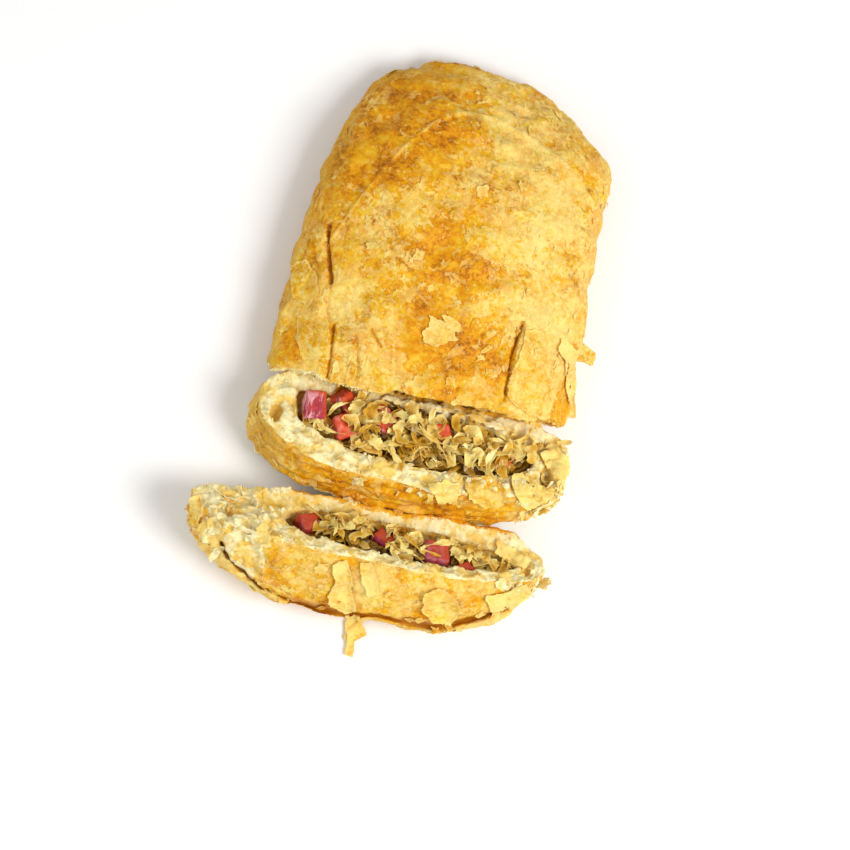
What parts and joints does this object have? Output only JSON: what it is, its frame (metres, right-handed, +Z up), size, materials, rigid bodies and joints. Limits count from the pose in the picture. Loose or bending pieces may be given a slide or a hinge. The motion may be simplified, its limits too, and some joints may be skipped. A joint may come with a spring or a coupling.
{
  "type": "sauerkraut strudel",
  "caption": "Savoury puff pastry strudel filled with sauerkraut and cubes of ham, partly cut, with slices tipped forward to show the filling.",
  "frame": {"origin": "under the middle of the whole, at the height it rests on", "axes": "+Z up, +Y along the strudel towards the loaf's closed end, +X across it"},
  "size_m": [0.1876, 0.317, 0.0569],
  "materials": {
    "crust": "flaky baked puff pastry, golden to orange-brown, cream where it is cut",
    "sauerkraut": "moist translucent straw-coloured shreds",
    "ham": "moist cured ham, pink to dark red"
  },
  "bodies": {
    "root": {"loaf_crust": "crust", "loaf_filling": "sauerkraut", "loaf_ham_1": "ham", "loaf_ham_2": "ham", "loaf_ham_3": "ham", "slice_crust": "crust", "slice_filling": "sauerkraut", "slice_ham_1": "ham", "slice_ham_2": "ham", "slice_ham_3": "ham", "slice_ham_4": "ham", "slice_ham_5": "ham", "slice_ham_6": "ham", "end_crust": "crust", "end_filling": "sauerkraut", "end_ham_1": "ham", "end_ham_2": "ham", "end_ham_3": "ham", "end_ham_4": "ham"}
  },
  "joints": []
}
